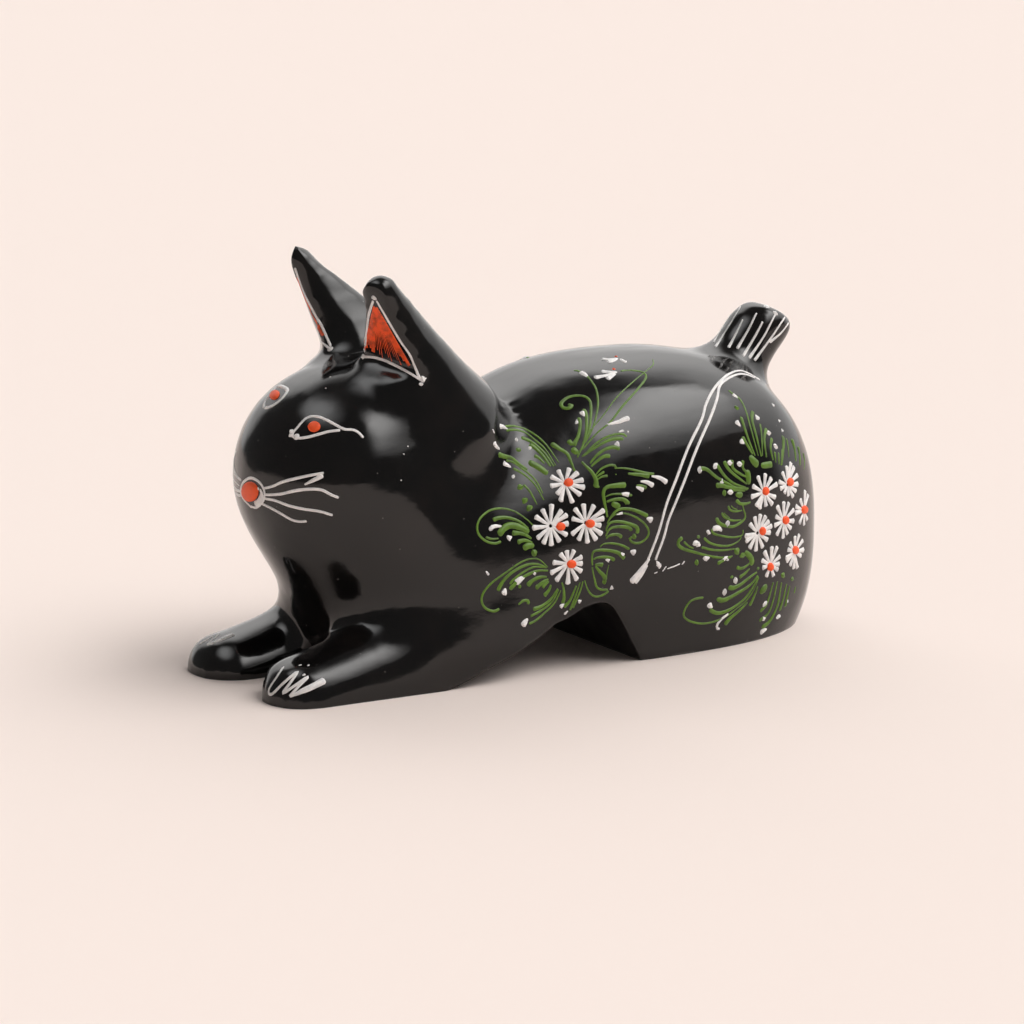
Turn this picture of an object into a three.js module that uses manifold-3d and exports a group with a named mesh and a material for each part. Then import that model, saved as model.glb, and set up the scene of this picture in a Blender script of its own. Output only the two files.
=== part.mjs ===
// Wooden cat statuette: a cat lying with its head up and its forelegs out, carved from one block of wood.
// X runs to the cat's left, Y to its rump and Z up. The origin is in the middle of the resting underside.
import * as THREE from "three";
import { mergeVertices } from "three/addons/utils/BufferGeometryUtils.js";
import Module from "manifold-3d";

// Driving size in mm: from the paw tips to the end of the tail
const length = 96.2;

// The figure's places and half sizes below are in hundredths of its length
const unit = length / 100;

const torso = { centre: [0, 15.9, 14.6], half: [22, 32.3, 28.1], fullness: 2.52 };
const chest = { centre: [0, -14.2, 12.5], half: [20, 22.9, 21.8], fullness: 2.3 };
const head = { centre: [0, -30.1, 28.7], half: [16.6, 16, 16.2], fullness: 2 };
const neck = { centre: [0, -16.3, 26], half: [15.4, 12, 15.6], fullness: 2.1 };

// Forelegs: half width and half height of a rounded section, from the shoulder to the paw, and the flat inner
// face left by the wedge cut out between them. The right one lies nearer the middle and is flatter.
const leftForeleg = {
  shoulder: { place: [11.9, -14.2, 2.6], half: [8.7, 12] },
  paw: { place: [12.4, -43.7, 0.2], half: [6.3, 6.1] },
  fullness: 2.2,
  inner: { place: [6.9, -46.8, 0], facing: [0.83, 0.51, 0.25] },
};
const rightForeleg = {
  shoulder: { place: [-8.4, -14.2, 2.2], half: [8.7, 10.6] },
  paw: { place: [-7.4, -44.4, 0.2], half: [6.9, 5.4] },
  fullness: 2.2,
  inner: { place: [0.1, -46.8, 0], facing: [-0.83, 0.51, 0.25] },
};

// Ears: a cone from the skull to the tip, a ridge behind it, and a flat front face cut into both.
// The right ear stands a little higher and sharper than the left one, as the knife left it.
const leftEar = {
  base: { place: [5.8, -19.4, 36.4], radius: 10 },
  tip: { place: [10.2, -29.8, 56.5], radius: 2 },
  ridge: { place: [7.3, -22.4, 48.2], radius: 2.4 },
  face: { place: [9.8, -31.75, 56.1], facing: [0.38, -0.85, -0.37] },
  brow: { place: [7.3, -27.2, 46.4], facing: [0.36, -0.4, 0.84] },
};
const rightEar = {
  base: { place: [-5.8, -19.4, 36.4], radius: 10 },
  tip: { place: [-10.2, -31.2, 58.55], radius: 1 },
  ridge: { place: [-7.3, -22.2, 49.2], radius: 2.7 },
  face: { place: [-9.7, -33.2, 57.9], facing: [-0.38, -0.86, -0.36] },
  brow: { place: [-7.3, -27.2, 46.4], facing: [-0.36, -0.4, 0.84] },
};

// Short raised tail, cut off at a slant
const tail = {
  root: { place: [0, 35, 34.3], radius: 4.5 },
  end: { place: [0, 45.2, 46.8], radius: 4.6 },
  cut: { place: [0, 44.2, 46.9], facing: [0, 0.43, 0.9] },
};

// The arch under the belly: a sloping ceiling behind the forelegs and the front of the haunches
const belly = { place: [0, 0.3, 10.3], facing: [0, -0.385, 0.92] };
const haunch = { place: [0, 8.2, 0], facing: [0, 0.85, 0.52] };

// Widths of the hollows that soften the joins, and of the rounding on the cut edges
const join = {
  chest: 7.3, foreleg: 4.2, forelegPair: 1.5, neck: 6.2, earPair: 2, ear: 5.2, throat: 8.5, nape: 3, tail: 4.8,
};
const rounding = {
  earEdge: 0.4, earRidge: 1.6, brow: 1.6, legEdge: 1, legGap: 0.8, tailRim: 3.6, archTop: 3, archEdge: 0.4,
};

// Where the soft join at the throat turns into the narrow crease at the nape
const napeStart = { y: -28.8, z: 12.5 };
const napeEnd = { y: -14.2, z: 27 };

// Where the block ends below the floor, before its underside is planed flat
const sawCut = -2.5;

// Spans of the carving grid along each axis, finer round the head, the paws and the tail than along the body.
// The grid stands clear of the skin by its margin.
const gridStep = { side: 1.85, front: 1.85, body: 3, rump: 2.2, low: 2.3, ears: 1.5 };
const gridMargin = 4;
const gridEnd = {
  side: torso.half[0] + gridMargin,
  paws: rightForeleg.paw.place[1] - rightForeleg.paw.half[0] - gridMargin,
  headBack: head.centre[1] + head.half[1],
  tailRoot: tail.root.place[1] - tail.root.radius,
  rump: torso.centre[1] + torso.half[1] + gridMargin,
  below: sawCut - gridMargin,
  earRoot: leftEar.base.place[2],
  earTips: rightEar.tip.place[2] + rightEar.tip.radius + gridMargin,
};
const gridSpans = [
  { from: -gridEnd.side, spans: [{ to: gridEnd.side, step: gridStep.side }] },
  {
    from: gridEnd.paws,
    spans: [
      { to: gridEnd.headBack, step: gridStep.front },
      { to: gridEnd.tailRoot, step: gridStep.body },
      { to: gridEnd.rump, step: gridStep.rump },
    ],
  },
  {
    from: gridEnd.below,
    spans: [{ to: gridEnd.earRoot, step: gridStep.low }, { to: gridEnd.earTips, step: gridStep.ears }],
  },
];

// How far a point lies in front of a face
function beyond(point, face) {
  const size = Math.hypot(...face.facing);
  return point.reduce((sum, value, axis) => sum + (value - face.place[axis]) * face.facing[axis], 0) / size;
}

// Joins of two distances, rounded over a width: either solid, the common solid, and the first without the second
function merge(a, b, width) {
  const overlap = Math.max(width - Math.abs(a - b), 0) / width;
  return Math.min(a, b) - overlap * overlap * width * 0.25;
}
const common = (a, b, width) => -merge(-a, -b, width);
const without = (a, b, width) => -merge(-a, b, width);

// Ellipsoid with a fullness of 2, nearer a rounded box above it. Distances are exact only near its skin.
function boss(point, { centre, half, fullness }) {
  const share = point.map((value, axis) => Math.abs(value - centre[axis]) / half[axis]);
  const reach = share.reduce((sum, value) => sum + value ** fullness, 0) ** (1 / fullness);
  if (reach < 1e-6) return -Math.min(...half);
  const slope = share.map((value, axis) => value ** (fullness - 1) / half[axis]);
  return ((reach - 1) * reach ** (fullness - 1)) / Math.hypot(...slope);
}

// Nearest place on the line from start to end, as a share of its length, and the offset from there
function alongLine(point, start, end) {
  const line = end.map((value, axis) => value - start[axis]);
  const offset = point.map((value, axis) => value - start[axis]);
  const dot = line.reduce((sum, value, axis) => sum + value * offset[axis], 0);
  const share = THREE.MathUtils.clamp(dot / line.reduce((sum, value) => sum + value * value, 0), 0, 1);
  return { share, offset: offset.map((value, axis) => value - line[axis] * share) };
}

// Round bar that tapers from one ball to another
function taper(point, start, end) {
  const { share, offset } = alongLine(point, start.place, end.place);
  return Math.hypot(...offset) - THREE.MathUtils.lerp(start.radius, end.radius, share);
}

function foreleg(point, { shoulder, paw, fullness }) {
  const { share, offset } = alongLine(point, shoulder.place, paw.place);
  const width = THREE.MathUtils.lerp(shoulder.half[0], paw.half[0], share);
  const height = THREE.MathUtils.lerp(shoulder.half[1], paw.half[1], share);
  return boss(offset, { centre: [0, 0, 0], half: [width, width, height], fullness });
}

function ear(point, { base, tip, ridge }) {
  return merge(taper(point, base, tip), taper(point, tip, ridge), rounding.earRidge);
}

// What the knife takes away in front of an ear: in front of its face and above the brow, on its own side
function earFront(point, { face, brow, tip }) {
  const cut = common(-beyond(point, face), -beyond(point, brow), rounding.brow);
  return Math.max(cut, -point[0] * Math.sign(tip.place[0]));
}

function headAndEars(point) {
  const skull = merge(boss(point, head), boss(point, neck), join.neck);
  const ears = merge(ear(point, leftEar), ear(point, rightEar), join.earPair);
  let solid = merge(skull, ears, join.ear);
  for (const side of [leftEar, rightEar]) {
    solid = without(solid, earFront(point, side), rounding.earEdge);
  }
  return solid;
}

function tailStub(point) {
  return common(taper(point, tail.root, tail.end), beyond(point, tail.cut), rounding.tailRim);
}

function archUnderBelly(point) {
  return common(beyond(point, belly), beyond(point, haunch), rounding.archTop);
}

function gapBetweenForelegs(point) {
  return common(beyond(point, leftForeleg.inner), beyond(point, rightForeleg.inner), rounding.legGap);
}

// Distance from a point to the cat's skin, negative inside, in hundredths of the length
function cat(point) {
  let solid = merge(boss(point, torso), boss(point, chest), join.chest);
  const forelegs = merge(foreleg(point, leftForeleg), foreleg(point, rightForeleg), join.forelegPair);
  solid = merge(solid, forelegs, join.foreleg);
  const behind = THREE.MathUtils.smoothstep(point[1], napeStart.y, napeEnd.y);
  const above = THREE.MathUtils.smoothstep(point[2], napeStart.z, napeEnd.z);
  const creaseWidth = THREE.MathUtils.lerp(join.throat, join.nape, behind * above);
  solid = merge(solid, headAndEars(point), creaseWidth);
  solid = merge(solid, tailStub(point), join.tail);
  solid = without(solid, archUnderBelly(point), rounding.archEdge);
  solid = without(solid, gapBetweenForelegs(point), rounding.legEdge);
  return Math.max(solid, sawCut - point[2]);
}

// How the skin is laid over the grid. Crossings of one cell count as smooth while the cosine of their turn stays
// above smoothTurn, probe is the step of a slope, hold keeps a point near the middle of its crossings, and the
// points within floorReach of the floor are moved onto it.
const skinning = {
  smoothTurn: 0.85,
  probe: 0.02,
  hold: 0.08,
  longestMove: gridStep.ears,
  floorReach: 0.5,
  crossingRounds: 3,
  evenRounds: 4,
  landingRounds: 3,
  settlingRounds: 4,
};

// Places of the grid lines along one axis
function gridLines({ from, spans }) {
  const places = [from];
  for (const { to, step } of spans) {
    const start = places.at(-1);
    const count = Math.round((to - start) / step);
    for (let index = 1; index <= count; index++) places.push(THREE.MathUtils.lerp(start, to, index / count));
  }
  return places;
}

const gridAxes = gridSpans.map(gridLines);
const gridSize = gridAxes.map((places) => places.length);
const gridIndex = (cell) => cell[0] + gridSize[0] * (cell[1] + gridSize[1] * cell[2]);
const gridPlace = (cell) => cell.map((value, axis) => gridAxes[axis][value]);

// Every cell of the grid, from first to one short of last along each axis
function* cells(first) {
  for (let k = first; k < gridSize[2] - 1; k++) {
    for (let j = first; j < gridSize[1] - 1; j++) {
      for (let i = first; i < gridSize[0] - 1; i++) yield [i, j, k];
    }
  }
}

function gridDistances() {
  const distances = new Float64Array(gridSize[0] * gridSize[1] * gridSize[2]);
  for (let k = 0; k < gridSize[2]; k++) {
    for (let j = 0; j < gridSize[1]; j++) {
      for (let i = 0; i < gridSize[0]; i++) distances[gridIndex([i, j, k])] = cat(gridPlace([i, j, k]));
    }
  }
  return distances;
}

// The eight corners of a cell, and its twelve edges as pairs of corners
const corners = [...Array(8).keys()].map((bits) => [bits & 1, (bits >> 1) & 1, bits >> 2]);
const edges = corners.flatMap((corner, from) => {
  return [1, 2, 4].filter((bit) => !(from & bit)).map((bit) => [from, from | bit]);
});

// The six sides of a cell, as four corners in order round each
const sides = [1, 2, 4].flatMap((bit) => {
  const [second, third] = [1, 2, 4].filter((other) => other !== bit);
  const round = [0, second, second | third, third];
  return [round, round.map((corner) => corner | bit)];
});

// Groups a cell's crossed edges into loops, one for each sheet of skin that passes through the cell.
// On a side that is crossed four times, each inside corner is cut off by itself.
function loopsOfCell(depths) {
  const loopOfEdge = new Map();
  const nameOf = (a, b) => `${Math.min(a, b)}-${Math.max(a, b)}`;
  const inside = (corner) => depths[corner] < 0;
  for (const [a, b] of edges) {
    if (inside(a) !== inside(b)) loopOfEdge.set(nameOf(a, b), nameOf(a, b));
  }
  const link = (one, other) => {
    const [keep, drop] = [loopOfEdge.get(one), loopOfEdge.get(other)];
    for (const [name, loop] of loopOfEdge) {
      if (loop === drop) loopOfEdge.set(name, keep);
    }
  };
  for (const side of sides) {
    const ring = side.map((corner, turn) => nameOf(corner, side[(turn + 1) % 4]));
    const crossed = ring.filter((name) => loopOfEdge.has(name));
    if (crossed.length === 2) link(...crossed);
    if (crossed.length < 4) continue;
    side.forEach((corner, turn) => {
      if (inside(corner)) link(ring[turn], ring[(turn + 3) % 4]);
    });
  }
  return loopOfEdge;
}

// Direction in which the distance grows, and how fast
function slopeAt(point) {
  const step = skinning.probe;
  return [0, 1, 2].map((axis) => {
    const ahead = point.map((value, other) => value + (other === axis ? step : 0));
    const back = point.map((value, other) => value - (other === axis ? step : 0));
    return (cat(ahead) - cat(back)) / (2 * step);
  });
}

// Where the skin crosses a grid edge, and the way it faces there
function crossing(start, end, startDepth, endDepth) {
  let [near, far] = [start, end];
  let [nearDepth, farDepth] = [startDepth, endDepth];
  for (let round = 0; round < skinning.crossingRounds; round++) {
    const share = nearDepth / (nearDepth - farDepth);
    const middle = near.map((value, axis) => THREE.MathUtils.lerp(value, far[axis], share));
    const depth = cat(middle);
    if (depth < 0 === nearDepth < 0) [near, nearDepth] = [middle, depth];
    else [far, farDepth] = [middle, depth];
    if (nearDepth === farDepth) break;
  }
  const place = Math.abs(nearDepth) < Math.abs(farDepth) ? near : far;
  return { place, facing: new THREE.Vector3(...slopeAt(place)).normalize() };
}

// The point that lies on all the flat faces seen at the crossings, or near them: so an edge or a corner stays sharp
function meetingPoint(crossings) {
  const middle = new THREE.Vector3();
  for (const { place } of crossings) middle.add(new THREE.Vector3(...place).divideScalar(crossings.length));
  const { hold } = skinning;
  const sums = [hold, 0, 0, 0, hold, 0, 0, 0, hold];
  const pull = new THREE.Vector3();
  for (const { place, facing } of crossings) {
    const offset = facing.dot(new THREE.Vector3(...place).sub(middle));
    const parts = facing.toArray();
    parts.forEach((a, row) => parts.forEach((b, column) => (sums[row * 3 + column] += a * b)));
    pull.addScaledVector(facing, offset);
  }
  return middle.add(pull.applyMatrix3(new THREE.Matrix3(...sums).invert())).toArray();
}

// Whether the crossings of a cell face nearly the same way
function isSmooth(crossings) {
  return crossings.every(({ facing }) => facing.dot(crossings[0].facing) > skinning.smoothTurn);
}

// One point for each sheet of skin in a cell
function skinPoints(distances) {
  const points = [];
  const smooth = [];
  const pointOfCell = new Map();
  for (const cell of cells(0)) {
    const ends = corners.map((corner) => cell.map((value, axis) => value + corner[axis]));
    const depths = ends.map((end) => distances[gridIndex(end)]);
    if (depths.every((depth) => depth < 0 === depths[0] < 0)) continue;
    const loopOfEdge = loopsOfCell(depths);
    const pointOfEdge = new Map();
    for (const loop of new Set(loopOfEdge.values())) {
      const crossed = edges.filter(([from, to]) => loopOfEdge.get(`${from}-${to}`) === loop);
      const crossings = crossed.map(([from, to]) => {
        pointOfEdge.set(`${from}-${to}`, points.length);
        return crossing(gridPlace(ends[from]), gridPlace(ends[to]), depths[from], depths[to]);
      });
      points.push(meetingPoint(crossings));
      smooth.push(isSmooth(crossings));
    }
    pointOfCell.set(gridIndex(cell), pointOfEdge);
  }
  return { points, smooth, pointOfCell };
}

// Four points round each grid edge that the skin crosses, in order seen from outside
function skinQuads(distances, pointOfCell) {
  const quads = [];
  for (const cell of cells(1)) {
    for (const axis of [0, 1, 2]) {
      const next = cell.map((value, other) => value + (other === axis ? 1 : 0));
      const startsInside = distances[gridIndex(cell)] < 0;
      if (startsInside === distances[gridIndex(next)] < 0) continue;
      const [second, third] = [(axis + 1) % 3, (axis + 2) % 3];
      const around = [[0, 0], [1, 0], [1, 1], [0, 1]].map(([back, down]) => {
        const neighbour = [...cell];
        neighbour[second] -= back;
        neighbour[third] -= down;
        const from = back * 2 ** second + down * 2 ** third;
        return pointOfCell.get(gridIndex(neighbour)).get(`${from}-${from + 2 ** axis}`);
      });
      quads.push(startsInside ? around : around.reverse());
    }
  }
  return quads;
}

// Moves a point straight onto the skin, by short steps
function ontoSkin(point) {
  const { longestMove } = skinning;
  let placed = point;
  for (let round = 0; round < skinning.landingRounds; round++) {
    const slope = slopeAt(placed);
    const size = slope.reduce((sum, value) => sum + value * value, 0);
    const distance = THREE.MathUtils.clamp(cat(placed), -longestMove, longestMove);
    placed = placed.map((value, axis) => value - (distance * slope[axis]) / size);
  }
  return placed;
}

// Spreads the points evenly over the smooth skin: each moves half way to the middle of its neighbours, then back
// onto it. A point on an edge stays where it is.
function evenOut(points, smooth, quads) {
  let placed = points.map((point, index) => (smooth[index] ? ontoSkin(point) : point));
  for (let round = 0; round < skinning.evenRounds; round++) {
    const sums = placed.map(() => [0, 0, 0, 0]);
    for (const quad of quads) {
      quad.forEach((index, turn) => {
        const neighbour = placed[quad[(turn + 1) % 4]];
        const before = placed[quad[(turn + 3) % 4]];
        for (const axis of [0, 1, 2]) sums[index][axis] += neighbour[axis] + before[axis];
        sums[index][3] += 2;
      });
    }
    placed = placed.map((point, index) => {
      if (!smooth[index]) return point;
      return ontoSkin(point.map((value, axis) => (value + sums[index][axis] / sums[index][3]) / 2));
    });
  }
  return placed;
}

// Moves the points nearest the floor along the skin onto it, so that planing the underside leaves no slivers
function settle(points) {
  return points.map((point) => {
    if (Math.abs(point[2]) > skinning.floorReach) return point;
    let [x, y] = point;
    for (let round = 0; round < skinning.settlingRounds; round++) {
      const [slopeX, slopeY] = slopeAt([x, y, 0]);
      const move = cat([x, y, 0]) / (slopeX ** 2 + slopeY ** 2);
      x -= move * slopeX;
      y -= move * slopeY;
    }
    return [x, y, 0];
  });
}

// Two triangles for each quad, split along its shorter diagonal
function triangles(quads, points) {
  const span = (a, b) => Math.hypot(...points[a].map((value, axis) => value - points[b][axis]));
  return quads.flatMap(([a, b, c, d]) => (span(a, c) < span(b, d) ? [a, b, c, a, c, d] : [a, b, d, b, c, d]));
}

const wasm = await Module();
wasm.setup();

function toSolid(geometry) {
  const bare = geometry.clone();
  bare.deleteAttribute("normal");
  bare.deleteAttribute("uv");
  const merged = mergeVertices(bare);
  const mesh = new wasm.Mesh({
    numProp: 3,
    vertProperties: new Float32Array(merged.attributes.position.array),
    triVerts: new Uint32Array(merged.index.array),
  });
  return new wasm.Manifold(mesh);
}

function toGeometry(solid) {
  const mesh = solid.getMesh();
  const geometry = new THREE.BufferGeometry();
  geometry.setAttribute("position", new THREE.Float32BufferAttribute(mesh.vertProperties, 3));
  geometry.setIndex(new THREE.Uint32BufferAttribute(mesh.triVerts, 1));
  return geometry;
}

// The whole skin at its real size, reaching a little below the floor
function catGeometry() {
  const distances = gridDistances();
  const { points, smooth, pointOfCell } = skinPoints(distances);
  const quads = skinQuads(distances, pointOfCell);
  const placed = settle(evenOut(points, smooth, quads));
  const geometry = new THREE.BufferGeometry();
  geometry.setAttribute("position", new THREE.Float32BufferAttribute(placed.flat(), 3));
  geometry.setIndex(triangles(quads, placed));
  return geometry.scale(unit, unit, unit);
}

// The underside is planed flat: everything below the floor comes off. The block's height is rounded as the
// mesh's numbers are, so that its base lies at exactly 0.
function statuetteGeometry() {
  const blockHeight = Math.fround(length);
  const block = new THREE.BoxGeometry(2 * length, 2 * length, blockHeight);
  block.translate(0, 0, blockHeight / 2);
  const standing = toGeometry(toSolid(catGeometry()).intersect(toSolid(block)));
  standing.computeBoundingBox();
  const middle = standing.boundingBox.getCenter(new THREE.Vector3());
  return standing.translate(-middle.x, -middle.y, 0);
}

// Black lacquer over the wood
const lacquer = new THREE.MeshStandardMaterial({ color: 0x0e0c0b, roughness: 0.16, metalness: 0 });

const group = new THREE.Group();
const statuette = new THREE.Mesh(statuetteGeometry(), lacquer);
statuette.name = "carved_cat";
group.add(statuette);

export default group;
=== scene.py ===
import math

import bmesh
import bpy
from bpy.props import FloatProperty, FloatVectorProperty, IntProperty, PointerProperty
from mathutils import Matrix, Vector
from mathutils.bvhtree import BVHTree


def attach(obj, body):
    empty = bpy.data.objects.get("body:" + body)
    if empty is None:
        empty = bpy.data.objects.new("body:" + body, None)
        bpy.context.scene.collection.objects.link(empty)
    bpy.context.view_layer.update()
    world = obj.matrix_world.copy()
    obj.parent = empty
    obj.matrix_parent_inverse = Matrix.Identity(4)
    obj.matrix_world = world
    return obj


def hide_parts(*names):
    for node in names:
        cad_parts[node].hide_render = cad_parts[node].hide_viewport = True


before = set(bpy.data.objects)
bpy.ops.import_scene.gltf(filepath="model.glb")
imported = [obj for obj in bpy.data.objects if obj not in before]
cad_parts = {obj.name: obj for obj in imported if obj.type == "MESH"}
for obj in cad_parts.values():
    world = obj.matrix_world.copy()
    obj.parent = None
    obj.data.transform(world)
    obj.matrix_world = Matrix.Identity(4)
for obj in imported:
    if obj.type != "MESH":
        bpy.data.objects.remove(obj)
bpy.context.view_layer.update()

bl_info = {
    "name": "Painted wooden cat",
    "version": (1, 0, 0),
    "blender": (4, 5, 0),
    "location": "3D View > Sidebar > Wooden cat",
    "description": "Black lacquered wooden cat with raised folk flower painting",
    "category": "Add Mesh",
}

MM = 0.001

# The photograph's view of the cat, which is 1024 pixels wide and high
VIEW_AZIMUTH = math.radians(58)
VIEW_ELEVATION = math.radians(12.2)
VIEW_DISTANCE = 0.55
VIEW_TARGET = Vector((0, -0.00015, 0.019))
IMAGE_SIZE = 1024
IMAGE_MIDDLE = IMAGE_SIZE / 2
FOCAL_PIXELS = 3850
SENSOR_WIDTH = 36

# Two neighbouring points of a stroke farther apart than this lie on different parts of the cat
LONGEST_STEP = 4 * MM

# Facets of the solid that meet at more than SHARP_EDGE keep a sharp edge. Pairs of triangles become quads
# where they lie within FLAT_PAIR of each other and within SQUARE_PAIR of a square shape.
SHARP_EDGE = math.radians(52)
FLAT_PAIR = math.radians(35)
SQUARE_PAIR = math.radians(60)
SKIN_WELD = 0.001 * MM

# Round end of a bead, as shares of its end radius, the least length between two ends, and its weld
BEAD_CAP = (0.02, 0.1, 0.24, 0.45, 0.7)
LEAST_BEAD = 0.05 * MM
BEAD_WELD = 0.0005 * MM

# Rings of a drop of paint from its rim inward: share of its radius and of its height
POOL_RINGS = ((1, -0.5), (0.96, 0.35), (0.84, 0.7), (0.6, 0.92), (0.3, 1))
POOL_CORNERS = 18

# The floor, the panel over the head and the lit room round them. Sides are azimuths in degrees from straight
# ahead of the cat, with the cosines of the turn away from them where the light fades out and is full.
# Heights are the upward part of a direction, where the light starts and is full. The panel fades from its
# middle, over distances that are shares of its sides.
FLOOR_HALF = 6
PANEL_SIZE = (0.3, 0.23)
PANEL_PLACE = (-0.03, -0.14, 0.29)
PANEL_WATTS = 0.6
PANEL_FADE = (0.5, 0.05)
WINDOW_SIDE = (141, 0.62, 0.84)
WINDOW_EDGE = (0.43, 0.455)
WINDOW_RISE = (0.45, 0.84)
WINDOW_FALL = (0.985, 0.84)
WINDOW_LOW = 0.84
WINDOW_GAIN = 4.9
BACKDROP_SIDE = (-138, 0.4, 0.56)
BACKDROP_RISE = (0.25, 0.66)
BACKDROP_FALL = (0.9, 0.7)
BACKDROP_LOW = 1.0
DARK_ROOM = 0.13


def linear(colour):
    """Turn an sRGB hex colour into the linear values that Blender works with."""
    parts = [int(colour[index:index + 2], 16) / 255 for index in (0, 2, 4)]
    return tuple(part / 12.92 if part <= 0.04045 else ((part + 0.055) / 1.055) ** 2.4 for part in parts)


class CatSizes(bpy.types.PropertyGroup):
    """Sizes of the skin and of the brush strokes."""

    skin_levels: IntProperty(
        name="Skin levels", description="How often the carved skin is divided",
        default=2, min=0, max=3)
    stroke_step: FloatProperty(
        name="Stroke step", description="Distance between two rings of a brush stroke",
        default=0.34 * MM, unit="LENGTH")
    bead_sink: FloatProperty(
        name="Bead sink", description="Share of its radius that a paint bead lies below the lacquer",
        default=0.6, subtype="FACTOR")
    wash_sink: FloatProperty(
        name="Wash sink",
        description="Share of its radius that a thinly brushed stroke lies below the lacquer",
        default=0.84, subtype="FACTOR")
    pool_height: FloatProperty(
        name="Pool height", description="Height of a round drop of paint above the lacquer",
        default=0.36 * MM, unit="LENGTH")
    ring_sides: IntProperty(
        name="Ring sides", description="Bevel resolution of a brush stroke", default=2)


def colour_setting(name, description, colour):
    """A colour in the sidebar panel, given by its sRGB hex value."""
    return FloatVectorProperty(name=name, description=description, subtype="COLOR", default=linear(colour))


class CatColours(bpy.types.PropertyGroup):
    """Colours of the lacquer, the paints and the floor."""

    lacquer: colour_setting("Lacquer", "Black lacquer over wood", "0C0B0B")
    lacquer_worn: colour_setting(
        "Thin lacquer", "Lacquer where the brown wood shows through a little", "1B1614")
    dust: colour_setting("Dust", "Dust specks in the lacquer", "8C8782")
    white: colour_setting("White paint", "Thick white paint", "F8F5F3")
    white_thin: colour_setting(
        "Thin white paint", "White paint that the black shows through", "C6C8CE")
    green: colour_setting("Green paint", "Thick leaf green paint", "5F8424")
    green_thin: colour_setting(
        "Thin green paint", "Green paint that the black shows through", "3C5220")
    orange: colour_setting("Orange paint", "Thick orange-red paint", "FF5A1C")
    orange_thin: colour_setting(
        "Thin orange paint", "Orange paint that the black shows through", "D84C20")
    orange_wash: colour_setting(
        "Orange wash", "Orange brushed out so thin that the black shows between the hairs", "5A2010")
    floor: colour_setting("Floor", "Plain pale floor", "F6E8E1")


# Brush loads: the painted width in millimetres at the start, the middle and the end of a stroke
HAIR = (0.14, 0.22, 0.2)
EAR_HAIR = (0.42, 0.25, 0.1)
FINE = (0.2, 0.34, 0.4)
STEM = (0.28, 0.46, 0.66)
LEAF = (0.34, 0.56, 0.86)
BLOB = (0.8, 1, 1)
BROAD = (0.9, 1.25, 1.25)
LINE = (0.4, 0.45, 0.4)
DROP = (0.28, 0.62, 0.86)
FAT_DROP = (0.4, 0.9, 1.05)
DOT = (0.62, 0.72, 0.62)
BIG_DOT = (1, 1.15, 1)
PETAL = (0.32, 0.62, 0.95)
TAIL = (0.3, 0.36, 0.5)
FAR_LINE = (0.5, 0.6, 0.5)

# Face: near eye, far eye, nose and whiskers, in photo pixels
FACE_WHITE = (
    (LINE, (292, 434), (298, 426.5), (305, 419), (311.5, 416.3), (319.5, 417), (330, 421.7),
     (340, 427.3), (346, 429.5), (352.5, 429.6), (358.5, 432.5), (363.8, 438.4)),
    (LINE, (291, 435.5), (298, 438), (307, 437.2), (317.5, 434.5), (329, 431.4), (341, 430)),
    (BLOB, (293.4, 430), (290, 433.4)),
    (BLOB, (290.4, 433), (292, 436.4)),
    (BLOB, (292, 436), (301, 437.3)),
    (FAR_LINE, (264, 408), (264.5, 402.7), (270, 395.2), (278, 386.2), (287, 389.4), (285, 395),
     (278, 402), (270, 407), (264, 408)),
    (LINE, (252, 508), (243.5, 499), (240.8, 491), (242.8, 483), (249.5, 478), (257, 480.4),
     (262.5, 486.5), (264.6, 494), (262.5, 502), (256, 507.6), (250.5, 506)),
    (FAT_DROP, (259.5, 488.5), (261.8, 494), (259, 501.5), (254, 505)),
    (DOT, (257.5, 486.5), (258.5, 491)),
    (LINE, (263, 488.6), (273, 486), (283, 481.7), (300, 477.5), (313, 474.8), (324.6, 472.8)),
    (DROP, (304, 485), (313, 480.4), (319, 477.4), (324, 473.5)),
    (LINE, (264, 494.8), (280, 494), (296, 490.5), (311, 489), (322, 490), (331, 494.6), (339.5, 498)),
    (LINE, (264, 498.4), (275, 500.5), (288, 505.4), (303, 509), (320, 511.5), (333.5, 515.6)),
    (LINE, (261, 503.5), (270, 507.6), (281, 513.7), (292, 520), (300, 521.6), (307.5, 521.2)),
    (LINE, (241.5, 480.5), (236.5, 475.5), (234.3, 467.5), (234.6, 458), (236.6, 450.5)),
    (HAIR, (239.5, 486), (234.3, 480.5), (232.6, 473)),
    (LINE, (241, 491.5), (236.6, 490), (233, 485.4)),
    (LINE, (241.5, 495), (238.4, 495.4), (235.6, 492.6)),
)
# Round spots of the face: middle, half width and half height in photo pixels, and their turn in degrees
FACE_SPOTS = (
    ((314.2, 426.8), (6.6, 5.4), -12),
    ((274.8, 395.2), (5.6, 4), -42),
    ((250.2, 491.6), (8.6, 10.4), 0),
)
FACE_SPECKS = (
    (HAIR, (328.6, 377.6), (331.6, 376.4)),
    (HAIR, (324.6, 388.3), (327, 388)),
    (HAIR, (407, 446), (409, 446.4)),
    (HAIR, (403, 454), (405, 454.3)),
    (HAIR, (400.4, 480), (402, 480.6)),
)

# Half width and half height of the daisies' hearts, narrower where the skin turns away from the camera
SHOULDER_HEART = (4.8, 4.4)
RUMP_HEART = (3.3, 4.4)

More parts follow.
